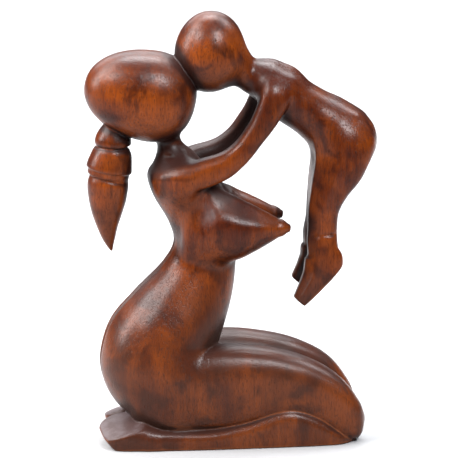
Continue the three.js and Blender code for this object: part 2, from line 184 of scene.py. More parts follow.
childFoot = dict(
    ankle=dict(x=61.8, y=15.2, z=139, deep=8.6, half=8.2),
    shaft=dict(x=62.2, y=15.8, z=132, deep=10.2, half=9.2),
    heel=dict(x=62.8, y=16.5, z=124.5, deep=12.8, half=9.2),
    instep=dict(x=60.2, y=17.2, z=115, deep=12.2, half=8.8),
    ball=dict(x=54.9, y=17.6, z=107, deep=9.6, half=8),
    toes=dict(x=49.5, y=18, z=100.5, deep=7, half=7),
    tip=dict(x=46.4, y=18.2, z=96.8, deep=5.6, half=5.6))
# The wood left standing between the child's legs.
childWeb = dict(
    top=dict(x=74.5, y=0, z=206, deep=18, half=8),
    thigh=dict(x=72, y=0, z=189, deep=17.2, half=11),
    overKnee=dict(x=66.8, y=0, z=174, deep=12.6, half=12),
    knee=dict(x=63.4, y=0, z=161, deep=9.6, half=12),
    shin=dict(x=62.4, y=0, z=148, deep=8.4, half=12),
    ankle=dict(x=62.6, y=0, z=138, deep=7.6, half=12),
    end=dict(x=63.2, y=0, z=131, deep=5, half=12))
hairKnot = dict(
    root=dict(x=-80, y=0, z=222, deep=5, half=7),
    top=dict(x=-80.4, y=0, z=216, deep=9.6, half=10),
    full=dict(x=-80.8, y=0, z=209.5, deep=12.4, half=12.2),
    crease=dict(x=-80.2, y=0, z=205, deep=12.2, half=12))
hairFlare = dict(
    crease=dict(x=-79.4, y=0, z=206.4, deep=9.8, half=9.8),
    neck=dict(x=-80.6, y=0, z=202, deep=12.9, half=12.7),
    flare=dict(x=-82.2, y=0, z=195, deep=14.8, half=14.2),
    lip=dict(x=-83.4, y=0, z=189.2, deep=15.9, half=14.9))
hairBand = dict(
    top=dict(x=-82.4, y=0, z=192, deep=13, half=12.6),
    middle=dict(x=-83.3, y=0, z=188, deep=14.3, half=13.5),
    groove=dict(x=-84.4, y=0, z=184, deep=14.4, half=13.5))
hairTail = dict(
    root=dict(x=-84, y=0, z=188, deep=11.5, half=11),
    full=dict(x=-84.2, y=0, z=179.6, deep=14, half=13.2),
    upper=dict(x=-84.6, y=0, z=169, deep=13.1, half=12.3),
    middle=dict(x=-84.9, y=0, z=159, deep=10.8, half=10.8),
    lower=dict(x=-84.7, y=0, z=149, deep=7.4, half=8.2),
    point=dict(x=-83.7, y=0, z=139.5, deep=4.2, half=5.2),
    tip=dict(x=-82.2, y=0, z=132, deep=1, half=1.6))

# The round masses: middle, half sizes, slope in degrees, narrowing and squareness.
motherHead = dict(x=-62, z=240.7, long=38.5, tall=30.6, wide=28, tilt=-12.5, taper=-0.15, power=2.19)
childHead = dict(x=-14, z=269, long=28, tall=24.1, wide=23, tilt=84, taper=0.03, power=2)
childSeat = dict(x=79.6, z=206.6, long=21.8, tall=20.5, wide=21.5, tilt=-40, taper=0, power=2)

# Where the knife cut flat, and how far the feet reach.
details = dict(
    toeEnd={-1: -92.8, 1: -86.0},        # her right foot, her left foot
    shortFoot=0.86,                      # the child's left foot is a little shorter
    soleBack=18, soleLevel=17.5, soleAside=10, soleNormal=(-0.32, 0.21, 0.92),
    toeLevel=8, toeNormal=(-0.72, 0, -0.69),
    legFacet=(0.70, 0.71, 0.82, 0.6),    # the flat front of the child's leg, turned outward
    footFacet=(0.866, 0.50, 0.91, 0.5),  # and of its instep
    childSole=dict(through=(74.4, 0, 120.2), normal=(0.724, 0, -0.69), drawn=3.2),
    legSet={-1: -1.0, 1: 1.6},           # how far each leg of the child is set out, along x
    legSetLost=0.8,                      # the share of it that is lost again at the ankle
    breastFacet=(-0.833, 0.553, 0.84, 2.2),
)
# The slow waves that knife and sandpaper leave; usual is about what all of them add up to.
ripples = dict(waves=10, shortest=15, longest=38, height=0.07, usual=3, seed=7)
# V cuts of the knife: a point of the cut's plane, the way the plane faces, how wide and deep.
grooves = dict(
    underKnot=dict(through=(-81, 0, 204.8), normal=(0.06, 0.0, 1.0), width=1.1, depth=1.0),
    underBand=dict(through=(-84, -12, 183.2), normal=(0.28, 0.0, 0.96), width=1.5, depth=0.8))
# Hollows pressed into the body: middle, reach each way and depth.
hollows = dict(
    armpit=dict(at=(-22.5, 26, 163), reach=(5.5, 10, 10), depth=4.2),
    armpitNick=dict(at=(-20.6, 27, 171.6), reach=(3.8, 6, 1.8), depth=2.0),
    neckNick=dict(at=(-44, 13, 199), reach=(3.5, 4, 1.6), depth=1.0))
childScoop = dict(at=(38, 25, 238), reach=(7, 8, 10), depth=1.5)
ankleNotch = dict(at=(68, 24, 143.6), reach=(6, 4, 1.0), depth=1.6)
# The furrow down her back, cut out of the trunk.
furrow = dict(
    top=dict(x=-43, y=0, z=160, deep=0.8, half=0.8),
    ribs=dict(x=-42.6, y=0, z=148, deep=2, half=2),
    waist=dict(x=-40.4, y=0, z=136, deep=2.8, half=2.4),
    smallOfBack=dict(x=-49.3, y=0, z=120, deep=3, half=2.5),
    loin=dict(x=-67.2, y=0, z=102, deep=3, half=2.6),
    hip=dict(x=-83.6, y=0, z=82, deep=3, half=2.6),
    seat=dict(x=-90.7, y=0, z=60, deep=2.8, half=2.4),
    underSeat=dict(x=-88.6, y=0, z=38, deep=1.2, half=1.2))

# How softly one form melts into the next, or a flat cut into its form. The ones for seat,
# shoulder and childShoulder are added to lap, arm and childArm where they fade in.
blends = dict(
    furrow=1.4, nipple=0.6, breast=7.0, thighs=3.0, betweenLegs=2.5, lap=2.5, seat=11,
    arm=2.5, shoulder=11, shinToFoot=4.0, shins=3.0, onShins=1.5, hairTiers=0.6, hair=1.5,
    motherHead=4.0, childNeck=9.0, childHead=9.0, childSeat=6.0, childAnkle=2.5, childLegs=2.0,
    childWeb=2.5, childHips=6.0, childArm=4, childShoulder=6, mothersChild=1.0, underside=1.0,
    sole=1.5, underToes=2.0, childSole=0.8)
# Where a blend, a groove or a set comes in: from nothing at the first place to all at the second.
fades = dict(
    groin=(-18, -40), seatBack=(-74, -50), shoulder=(-22, -32), childShoulder=(230, 242),
    tailBack=(-97, -85), tailFront=(-70, -76), childThigh=(200, 160), childAnkle=(152, 132))

far = 40.0        # a distance that means: not near this limb
margin = 16.0     # how far round a limb its distance is still worked out
leastSlope = 0.7  # keeps a distance finite in the middle of a form
tiny = 1e-9       # keeps a root off nought
offEnd = 1e-3     # what counts as past the last cut of a limb
eggReach = 1.2    # how far an egg's narrowing goes on, as a share of its half length
sides = (-1, 1)


# 0 at the start, 1 at the end and even between them, whichever way they lie.
def ramp(value, start, end):
    return np.clip((value - start) / (end - start), 0, 1)


def softMin(a, b, blend):
    h = np.maximum(blend - np.abs(a - b), 0) / blend
    return np.minimum(a, b) - h * h * blend / 4


def softMax(a, b, blend):
    return -softMin(-a, -b, blend)


# A smooth run through the cuts, as rows of the named values.
def runThrough(cuts, names, steps=7):
    rows = np.array([[cut[name] for name in names] for cut in cuts.values()], float)
    padded = np.vstack([rows[0], rows, rows[-1]])
    t = np.linspace(0, 1, steps, endpoint=False)[:, None]
    run = []
    for a, b, c, d in zip(padded, padded[1:], padded[2:], padded[3:]):
        run.append(0.5 * (2 * b + (c - a) * t + (2 * a - 5 * b + 4 * c - d) * t ** 2
                          + (3 * b - a - 3 * c + d) * t ** 3))
    return np.vstack(run + [rows[-1:]])


# The distance to an oval or rounded box of half sizes a and b, from the offsets n and s.
def roundBox(n, s, a, b, power, change=0.0):
    n, s = n / a, s / b
    r = (n ** power + s ** power + tiny) ** (1 / power)
    slope = np.sqrt((r ** (1 - power) * n ** (power - 1) / a) ** 2
                    + (r ** (1 - power) * s ** (power - 1) / b) ** 2 + change ** 2)
    return (r - 1) / np.maximum(slope, leastSlope / np.maximum(a, b))


# Each maker below returns a function of points that gives the distance to its own surface.
def only(low, high, distance):
    low, high = np.array(low) - margin, np.array(high) + margin

    def within(points):
        out = np.full(len(points), far)
        near = np.flatnonzero(((points > low) & (points < high)).all(axis=1))
        if len(near):
            out[near] = np.minimum(distance(points[near]), far)
        return out
    return within


def levelBody(cuts):
    z, back, front, half = runThrough(cuts, ("z", "back", "front", "half")).T
    middle, reach = (back + front) / 2, (front - back) / 2
    return stacked(z, middle, reach, 0 * z, half, axes=(2, 0, 1), power=2.0, cap=2.0)


def uprightBody(cuts, side=1, power=2.0, start=0.0):
    x, low, high, y, half = runThrough(cuts, ("x", "low", "high", "y", "half")).T
    middle, reach = (low + high) / 2, (high - low) / 2
    return stacked(x + start, middle, reach, side * y, half, axes=(0, 2, 1), power=power, cap=2.5)


# Cuts stacked along one axis: the run, the middles and half sizes on the two others, and
# how round the ends are.
def stacked(run, middleU, halfU, middleV, halfV, axes, power, cap):
    order = np.argsort(run)
    run, middleU, halfU, middleV, halfV = (a[order] for a in (run, middleU, halfU, middleV, halfV))
    low, high = np.zeros(3), np.zeros(3)
    ends = (run, middleU - halfU, middleV - halfV), (run, middleU + halfU, middleV + halfV)
    for k, axis in enumerate(axes):
        low[axis], high[axis] = ends[0][k].min(), ends[1][k].max()

    def ratio(t, u, v):
        at = [np.interp(t, run, a) for a in (middleU, halfU, middleV, halfV)]
        n, s = np.abs(u - at[0]), np.abs(v - at[2])
        return n, s, at[1], at[3], ((n / at[1]) ** power + (s / at[3]) ** power + tiny) ** (1 / power)

    def distance(points):
        t, u, v = (points[:, axis] for axis in axes)
        n, s, a, b, _ = ratio(t, u, v)
        change = ratio(t + 0.5, u, v)[4] - ratio(t - 0.5, u, v)[4]
        d = roundBox(n, s, a, b, power, change) + cap
        end = np.maximum(run[0] - t, t - run[-1]) + cap
        return np.hypot(np.maximum(d, 0), np.maximum(end, 0)) + np.minimum(np.maximum(d, end), 0) - cap
    return only(low, high, distance)


# A limb whose cuts stand square to its run. A facet is a flat cut: which way it faces,
# across and aside, its reach from the middle as a share of the limb's own half size, and how
# soft its edge is.
def limb(cuts, side=1, power=2.0, cap=3.0, facets=()):
    rows = runThrough(cuts, ("x", "y", "z", "deep", "half"))
    run = rows[:, :3] * (1, side, 1)
    deep, half = rows[:, 3], rows[:, 4]
    tangent = np.gradient(run, axis=0)
    tangent /= np.linalg.norm(tangent, axis=1)[:, None]
    step = run[1:] - run[:-1]
    length = (step ** 2).sum(axis=1)
    reach = np.maximum(deep, half).max()
    last = len(step) - 1

    def distance(points):
        nearest = np.argmin((run ** 2).sum(axis=1) - 2 * points @ run.T, axis=1)
        best, k, f = np.full(len(points), np.inf), np.zeros(len(points), int), np.zeros(len(points))
        for offset in (-1, 0):
            i = np.clip(nearest + offset, 0, last)
            t = np.clip(((points - run[i]) * step[i]).sum(axis=1) / length[i], 0, 1)
            away = ((points - run[i] - t[:, None] * step[i]) ** 2).sum(axis=1)
            closer = away < best
            best, k, f = np.where(closer, away, best), np.where(closer, i, k), np.where(closer, t, f)

        def mix(values):
            share = f if values.ndim == 1 else f[:, None]
            return values[k] * (1 - share) + values[k + 1] * share

        away, along = points - mix(run), mix(tangent)
        aside = -along * along[:, 1:2] + (0, 1, 0)
        aside /= np.linalg.norm(aside, axis=1)[:, None]
        across = np.cross(aside, along)
        u, s = (away * across).sum(axis=1), (away * aside).sum(axis=1)
        a, b = mix(deep), mix(half)
        d = roundBox(np.abs(u), np.abs(s), a, b, power)
        for facesAcross, facesAside, share, soft in facets:
            flat = u / a * facesAcross + s * side / b * facesAside - share
            d = softMax(d, flat / np.hypot(facesAcross / a, facesAside / b), soft)
        over = np.abs((away * along).sum(axis=1))
        pastEnd = (((k == 0) & (f <= 0)) | ((k == last) & (f >= 1))) & (over > offEnd)
        rounded = np.hypot(np.maximum(d + cap, 0), over) - cap
        return np.where(pastEnd, np.where(d > -cap, rounded, over - cap), d)
    return only(run.min(axis=0) - reach, run.max(axis=0) + reach, distance)


def egg(mass):
    middle = np.array([mass["x"], 0, mass["z"]])
    reach = max(mass["long"], mass["tall"], mass["wide"]) * eggReach
    cosine, sine = math.cos(math.radians(mass["tilt"])), math.sin(math.radians(mass["tilt"]))

    def distance(points):
        x, y, z = (points - middle).T
        t, n, s = x * cosine + z * sine, np.abs(z * cosine - x * sine), np.abs(y)
        narrow = 1 - mass["taper"] * np.clip(t / mass["long"], -eggReach, eggReach)
        a, b, e = mass["tall"] * narrow, mass["wide"] * narrow, mass["power"]
        t = np.abs(t / mass["long"])
        r = (t ** e + (n / a) ** e + (s / b) ** e + tiny) ** (1 / e)
        slope = r ** (1 - e) * np.sqrt((t ** (e - 1) / mass["long"]) ** 2 + ((n / a) ** (e - 1) / a) ** 2
                                       + ((s / b) ** (e - 1) / b) ** 2)
        return (r - 1) / np.maximum(slope, leastSlope / max(mass["long"], mass["tall"], mass["wide"]))
    return only(middle - reach, middle + reach, distance)


# A foot drawn in towards its ankle.
def drawnIn(cuts, share):
    ankle = cuts["ankle"]

    def near(start, end):
        return start + (end - start) * share
    return {name: dict(cut, x=near(ankle["x"], cut["x"]), z=near(ankle["z"], cut["z"]),
                       deep=near(cut["deep"] / 2, cut["deep"])) for name, cut in cuts.items()}


# Every form, as a function that gives the distance to its surface, negative inside.
forms = {
    "trunk": levelBody(trunk),
    "betweenLegs": uprightBody(betweenLegs, power=4.0),
    "motherHead": egg(motherHead),
    "childHead": egg(childHead),
    "childSeat": egg(childSeat),
    "childTrunk": limb(childTrunk),
    "childNeck": limb(childNeck),
    "childWeb": limb(childWeb, power=3.0),
    "hairKnot": limb(hairKnot, cap=1.2),
    "hairFlare": limb(hairFlare, cap=1.2),
    "hairBand": limb(hairBand, cap=1.2),
    "hairTail": limb(hairTail, cap=1.0),
    "furrow": limb(furrow, cap=0.8),
}
for side in sides:
    forms["breast", side] = limb(breast, side, cap=6.0, facets=[details["breastFacet"]])
    forms["nipple", side] = limb(nipple, side, power=2.2, cap=1.4)
    forms["thigh", side] = uprightBody(thigh, side, power=2.8)
    forms["shin", side] = uprightBody(shin, side, power=5.0)
    forms["foot", side] = uprightBody(foot, side, power=3.0, start=details["toeEnd"][side])
    forms["arm", side] = limb(arm, side, power=2.8)
    forms["childLeg", side] = limb(childLeg, side, power=3.0, facets=[details["legFacet"]])
    cuts = childFoot if side < 0 else drawnIn(childFoot, details["shortFoot"])
    forms["childFoot", side] = limb(cuts, side, power=4.0, cap=1.5, facets=[details["footFacet"]])


def plane(points, through, normal):
    return (points - through) @ np.array(normal)


# How far points lie above the flat cut over the sole of her foot.
def overSole(points, side):
    nx, ny, nz = details["soleNormal"]
    through = (details["toeEnd"][side] + details["soleBack"], side * details["soleAside"],
               details["soleLevel"])
    return plane(points, through, (nx, side * ny, nz))


# Her foot lies sole up, cut flat over the sole and sloped away under the toes.
def herFoot(points, side):
    toes = (details["toeEnd"][side], 0, details["toeLevel"])
    d = softMax(forms["foot", side](points), overSole(points, side), blends["sole"])
    return softMax(d, plane(points, toes, details["toeNormal"]), blends["underToes"])


# The child's leg runs straight into the foot, whose sole is one flat cut.
def childsLeg(points, side):
    z = points[:, 2]
    share = ramp(z, *fades["childThigh"]) * (1 - details["legSetLost"] * ramp(z, *fades["childAnkle"]))
    points = points - share[:, None] * (details["legSet"][side], 0, 0)
    sole = details["childSole"]
    drawn = 0 if side < 0 else sole["drawn"]
    through = np.array(sole["through"]) - drawn * np.array(sole["normal"])
    flat = plane(points, through, sole["normal"])
    foot = softMax(forms["childFoot", side](points), flat, blends["childSole"])
    leg = softMin(forms["childLeg", side](points), foot, blends["childAnkle"])
    return leg + pressed(points * (1, side, 1), ankleNotch)


def ripple(points):
    rng = np.random.default_rng(ripples["seed"])
    total = np.zeros(len(points))
    for _ in range(ripples["waves"]):
        heading = rng.normal(size=3)
        length = rng.uniform(ripples["shortest"], ripples["longest"])
        heading *= 2 * math.pi / length / np.linalg.norm(heading)
        total += np.sin(points @ heading + rng.uniform(0, 2 * math.pi))
    return total * ripples["height"] / ripples["usual"]


def grooved(points, groove):
    across = plane(points, groove["through"], groove["normal"])
    return groove["depth"] * np.exp(-(across / groove["width"]) ** 2)


def pressed(points, hollow):
    away = (points - hollow["at"]) / hollow["reach"]
    return hollow["depth"] * np.exp(-(away ** 2).sum(axis=1))


# The mother: trunk, breasts, legs and arms, on the base that her shins and feet make.
def mothersBody(points, mirrored):
    x = points[:, 0]
    body = softMax(forms["trunk"](points), -forms["furrow"](points), blends["furrow"])
    for side in sides:
        chest = softMin(forms["breast", side](points), forms["nipple", side](points), blends["nipple"])
        body = softMin(body, chest, blends["breast"])
    legs = softMin(forms["thigh", -1](points), forms["thigh", 1](points), blends["thighs"])
    legs = softMin(legs, forms["betweenLegs"](points), blends["betweenLegs"])
    seat = blends["seat"] * ramp(x, *fades["groin"]) * ramp(x, *fades["seatBack"])
    body = softMin(body, legs, blends["lap"] + seat)
    shoulder = blends["shoulder"] * ramp(x, *fades["shoulder"])
    for side in sides:
        body = softMin(body, forms["arm", side](points), blends["arm"] + shoulder)
    for hollow in hollows.values():
        body = body + pressed(mirrored, hollow)
    base = np.full(len(points), far)
    for side in sides:
        shinAndFoot = softMin(forms["shin", side](points), herFoot(points, side), blends["shinToFoot"])
        base = softMin(base, shinAndFoot, blends["shins"])
    base = softMin(base, forms["betweenLegs"](points), blends["shins"])
    return softMin(body, base, blends["onShins"])


# Her head with the knotted tail of hair.
def mothersHead(points):
    x = points[:, 0]
    hair = forms["hairKnot"](points)
    for tier in ("hairFlare", "hairBand", "hairTail"):
        hair = softMin(hair, forms[tier](points), blends["hairTiers"])
    ahead = ramp(x, *fades["tailBack"]) * ramp(x, *fades["tailFront"])
    hair = hair + grooved(points, grooves["underKnot"]) + ahead * grooved(points, grooves["underBand"])
    return softMin(forms["motherHead"](points), hair, blends["hair"])


# The child, with the arms that it shares with the mother.
def child(points, mirrored):
    whole = softMin(forms["childTrunk"](points), forms["childNeck"](points), blends["childNeck"])
    whole = softMin(whole, forms["childHead"](points), blends["childHead"])
    whole = softMin(whole, forms["childSeat"](points), blends["childSeat"])
    legs = softMin(childsLeg(points, -1), childsLeg(points, 1), blends["childLegs"])
    legs = softMin(legs, forms["childWeb"](points), blends["childWeb"])
    whole = softMin(whole, legs, blends["childHips"])
    shoulder = blends["childShoulder"] * ramp(points[:, 2], *fades["childShoulder"])
    for side in sides:
        whole = softMin(whole, forms["arm", side](points), blends["childArm"] + shoulder)
    return whole + pressed(mirrored, childScoop)


# The whole group as one distance, cut level below.
def group(points):
    mirrored = np.abs(points * (0, 1, 0)) + points * (1, 0, 1)     # as if all were on her left
    mother = softMin(mothersBody(points, mirrored), mothersHead(points), blends["motherHead"])
    whole = softMin(mother, child(points, mirrored), blends["mothersChild"]) + ripple(points)
    return softMax(whole, drawnFloor - points[:, 2], blends["underside"])


# The same for any number of points, a batch at a time to spare memory.
def sculpt(points, batch=150000):
    return np.concatenate([group(points[i:i + batch]) for i in range(0, len(points), batch)])


# The surface is found on a grid of cubes that is only fine near the surface.
grid = dict(
    low=np.array([-110.0, -50.0, -6.0]), high=np.array([110.0, 50.0, 304.0]),
    step=0.8,
    coarse=8,                  # small cubes along an edge of the first, large ones
    share=1.1, spare=0.4,      # a cube is kept within this share of its edge, and this far more
    triangles=190000)          # what the mesh is thinned to
cubeCorners = np.array([(i, j, k) for i in (0, 1) for j in (0, 1) for k in (0, 1)])
cornerSteps = (4, 2, 1)        # from a corner to the next one along x, y and z


def cubesNearSurface():
    size = grid["coarse"]
    counts = np.ceil((grid["high"] - grid["low"]) / (grid["step"] * size)).astype(int)
    starts = (np.arange(n) * size for n in counts)
    cubes = np.stack(np.meshgrid(*starts, indexing="ij"), -1).reshape(-1, 3)
    while size > 1:
        value = sculpt(grid["low"] + (cubes + size / 2) * grid["step"])
        cubes = cubes[np.abs(value) < size * grid["step"] * grid["share"] + grid["spare"]]
        size //= 2
        cubes = (cubes[:, None] + cubeCorners * size).reshape(-1, 3)
    return cubes, counts * grid["coarse"] + 1


# One point in each cube that the surface passes through, and a quad round each edge it crosses.
def carvedSurface():
    cubes, shape = cubesNearSurface()
    strides = np.array([shape[1] * shape[2], shape[2], 1])
    at = cubes @ strides
    used = np.zeros(shape.prod(), bool)
    for corner in cubeCorners:
        used[at + corner @ strides] = True
    places = np.flatnonzero(used)
    lattice = np.stack(np.unravel_index(places, shape), -1)
    value = np.full(shape.prod(), np.nan, np.float32)
    value[places] = sculpt(grid["low"] + lattice * grid["step"])
    inside = np.stack([value[at + corner @ strides] < 0 for corner in cubeCorners], 1)
    mixed = inside.any(axis=1) & ~inside.all(axis=1)
    cubes, at, inside = cubes[mixed], at[mixed], inside[mixed]
    total, count = np.zeros((len(cubes), 3)), np.zeros(len(cubes))
    for a, corner in enumerate(cubeCorners):
        for axis in np.flatnonzero(corner == 0):
            b = a + cornerSteps[axis]
            crossed = np.flatnonzero(inside[:, a] != inside[:, b])
            low = value[at[crossed] + corner @ strides]
            high = value[at[crossed] + cubeCorners[b] @ strides]
            point = cubes[crossed] + corner.astype(float)
            point[:, axis] += low / (low - high)
            total[crossed] += point
            count[crossed] += 1
    points = grid["low"] + total / count[:, None] * grid["step"]
    number = np.full(shape.prod(), -1, np.int32)
    number[at] = np.arange(len(at))
    quads = []
    for axis, (b, c) in enumerate(((1, 2), (2, 0), (0, 1))):
        crossed = np.flatnonzero(inside[:, 0] != inside[:, cornerSteps[axis]])
        start = at[crossed]
        quad = np.stack([number[start], number[start - strides[b]],
                         number[start - strides[b] - strides[c]], number[start - strides[c]]], 1)
        quad[~inside[crossed, 0]] = quad[~inside[crossed, 0]][:, ::-1]
        quads.append(quad)
    return points, np.vstack(quads)


def gradient(points, reach=0.15):
    slope = np.empty((len(points), 3))
    for axis in range(3):
        offset = np.zeros(3)
        offset[axis] = reach
        slope[:, axis] = (sculpt(points + offset) - sculpt(points - offset)) / (2 * reach)
    return slope


# Moves the points onto the surface, and gives the way each faces.
def settle(points, rounds=2, leastSteep=0.15, longestMove=0.5, shortest=1e-6):
    for _ in range(rounds):
        slope = gradient(points)
        steep = np.maximum((slope ** 2).sum(axis=1), leastSteep)
        move = slope * (sculpt(points) / steep)[:, None]
        size = np.linalg.norm(move, axis=1)[:, None]
        points = points - move * np.minimum(1, longestMove / np.maximum(size, shortest))
    slope = gradient(points)
    return points, slope / np.maximum(np.linalg.norm(slope, axis=1)[:, None], shortest)


# Draws every value half way to the mean of its neighbours.
def evened(values, edges, rounds):
    count = np.bincount(edges.ravel(), minlength=len(values))[:, None]
    a, b = edges.T

    def neighbours(column):
        return np.bincount(a, column[b], len(column)) + np.bincount(b, column[a], len(column))
    for _ in range(rounds):
        total = np.stack([neighbours(column) for column in values.T], 1)
        values = (values + total / count) / 2
    return values


# How far the wood closes in round each point: 0 in the open, towards 1 in a deep fold.
def closedIn(points, normals, reaches):
    shares = [(reach - sculpt(points + normals * reach)) / reach for reach in reaches]
    return np.clip(np.mean(shares, axis=0), 0, 1)


# Painted shade between her arms, under the heads, and on the child's shins where they face her: where it
# comes in, how far the wood has to be turned inward, down or back there, and how strong the painted shade
# is.
paintedShadePlaces = dict(
    betweenArms=dict(x=(-26, -18), low=(180, 188), high=(236, 228), turned=0.1, share=0.7),
    underHeads=dict(low=(200, 210), turned=0.2, share=0.45),
    childShins=dict(x=(40, 44), low=(118, 138), turned=0.2, share=0.25))


def paintedShadeAt(points, normals):
    x, y, z = points.T
    arms, heads, shins = (paintedShadePlaces[name] for name in ("betweenArms", "underHeads", "childShins"))
    inward = np.clip(-np.sign(y) * normals[:, 1] - arms["turned"], 0, 1)
    under = np.clip(-normals[:, 2] - heads["turned"], 0, 1)
    back = np.clip(-normals[:, 0] - shins["turned"], 0, 1)
    return np.maximum.reduce([
        arms["share"] * ramp(x, *arms["x"]) * ramp(z, *arms["low"]) * ramp(z, *arms["high"]) * inward,
        heads["share"] * ramp(z, *heads["low"]) * under,
        shins["share"] * ramp(x, *shins["x"]) * ramp(z, *shins["low"]) * back])


# How sharply the wood falls away round each point.
def standsOut(points, normals, depth):
    return np.clip(1 + sculpt(points - normals * depth) / depth, 0, 1)


# Pale dust and a painted sheen lie on the soles of her feet, and a painted sheen in the armpits.
dustAndSheenPlaces = dict(
    sole=dict(above=(0.8, 0.3), x=(-62, -68)),
    armpit=dict(at=(-18.5, 27, 163), reach=(5, 9, 9), depth=0.9))


def dustAndSheenAt(points):
    x, y, _ = points.T
    sole = dustAndSheenPlaces["sole"]
    dustAndSheen = np.zeros(len(points))
    for side in sides:
        near = ramp(np.abs(overSole(points, side)), *sole["above"])
        dustAndSheen = np.maximum(dustAndSheen, near * ramp(x, *sole["x"]) * (side * y > 0))
        dustAndSheen = np.maximum(dustAndSheen, pressed(points * (1, side, 1), dustAndSheenPlaces["armpit"]))
    return dustAndSheen


def placed(points):
    return (points + (drawnShift, 0, -drawnFloor)) * mm


def drawn(points):
    return points / mm - (drawnShift, 0, -drawnFloor)


def quadMesh(name, points, quads):
    mesh = bpy.data.meshes.new(name)
    mesh.vertices.add(len(points))
    mesh.vertices.foreach_set("co", placed(points).astype(np.float32).ravel())
    mesh.loops.add(quads.size)
    mesh.loops.foreach_set("vertex_index", quads.astype(np.int32).ravel())
    mesh.polygons.add(len(quads))
    mesh.polygons.foreach_set("loop_start", np.arange(0, quads.size, 4, dtype=np.int32))
    mesh.update(calc_edges=True)
    mesh.validate()
    return mesh


# Thins a piece made of quads to the number of triangles that the grid states.
def thinOut(piece, quadCount):
    thin = piece.modifiers.new("thin", "DECIMATE")
    thin.ratio = min(1.0, grid["triangles"] / (2 * quadCount))
    bpy.context.view_layer.update()
    mesh = bpy.data.meshes.new_from_object(piece.evaluated_get(bpy.context.evaluated_depsgraph_get()))
    piece.modifiers.clear()
    piece.data = mesh
    mesh.name = piece.name


# The marks that the material reads, and how far round a point each looks.
def addMarks(mesh, points, normals):
    folds = closedIn(points, normals, (6.0, 13.0, 24.0, 38.0))
    marks = {
        # hollow and crease carry painted shade: the colour darkens where the wood closes in round a point,
        # and between the arms, under the heads and on the child's shins
        "hollow": np.maximum(folds, paintedShadeAt(points, normals)),
        "crease": closedIn(points, normals, (1.2, 2.4)),
        # edge lightens worn wood on the ridges, and stands in for a painted highlight along them
        "edge": standsOut(points, normals, 2.0),
        # pale dust and a painted sheen on her soles, a painted sheen in the armpits
        "dustAndSheen": dustAndSheenAt(points),
        # upward lays the top colour on up-facing wood: painted shade with a painted sky reflection
        "upward": np.clip(normals[:, 2], 0, 1),
    }
    for name, values in marks.items():
        layer = mesh.attributes.new(name, "FLOAT", "POINT")
        layer.data.foreach_set("value", values.astype(np.float32))


def makeCarving():
    points, quads = carvedSurface()
    print("surface found:", len(points), "points")
    name = "motherAndChildCarving"
    carving = bpy.data.objects.new(name, quadMesh(name, points, quads))
    bpy.context.collection.objects.link(carving)
    thinOut(carving, len(quads))
    mesh = carving.data
    flat = np.empty(len(mesh.vertices) * 3, np.float32)
    mesh.vertices.foreach_get("co", flat)
    points, normals = settle(drawn(flat.reshape(-1, 3).astype(float)))
    flat = np.empty(len(mesh.edges) * 2, np.int32)
    mesh.edges.foreach_get("vertices", flat)
    edges = flat.reshape(-1, 2)
    points = evened(points, edges, 2)
    normals = evened(normals, edges, 3)
    normals /= np.linalg.norm(normals, axis=1)[:, None]
    mesh.vertices.foreach_set("co", placed(points).astype(np.float32).ravel())
    print("carving has", len(mesh.polygons), "faces")
    addMarks(mesh, points, normals)
    mesh.shade_smooth()
    mesh.normals_split_custom_set_from_vertices(normals.tolist())
    mesh.update()
    return carving


# Shader maths: a wire is one output socket, and arithmetic on wires adds Math nodes.
class Wire:
    def __init__(self, tree, socket):
        self.tree, self.socket = tree, socket

    def math(self, operation, *others):
        return node(self.tree, "Math", {"operation": operation}, dict(enumerate((self, *others))))

    def __add__(self, other):
        return self.math("ADD", other)

    def __sub__(self, other):
        return self.math("SUBTRACT", other)

    def __rsub__(self, other):
        return node(self.tree, "Math", {"operation": "SUBTRACT"}, {0: other, 1: self})

    def __mul__(self, other):
        return self.math("MULTIPLY", other)

    def __pow__(self, other):
        return self.math("POWER", other)

    __radd__, __rmul__ = __add__, __mul__

    def clamped(self):
        return node(self.tree, "Clamp", {}, {"Value": self})

    def between(self, low, high):
        settings = {"interpolation_type": "SMOOTHSTEP"}
        return node(self.tree, "MapRange", settings, {"Value": self, "From Min": low, "From Max": high})


# Any node: its type, its settings, then the values or wires of its sockets.
def node(tree, kind, settings, sockets, output=0):
    made = tree.nodes.new("ShaderNode" + kind)
    for name, value in settings.items():
        setattr(made, name, value)
    for name, value in sockets.items():
        if isinstance(value, Wire):
            tree.links.new(value.socket, made.inputs[name])
        else:
            made.inputs[name].default_value = value
    return Wire(tree, made.outputs[output]) if len(made.outputs) else None


# One colour laid over another: 6 and 7 are the colour sockets of a Mix node, and 2 its colour output.
def mixColour(tree, factor, under, over):
    a, b = (colour if isinstance(colour, Wire) else (*colour, 1) for colour in (under, over))
    return node(tree, "Mix", {"data_type": "RGBA"}, {0: factor, 6: a, 7: b}, output=2)


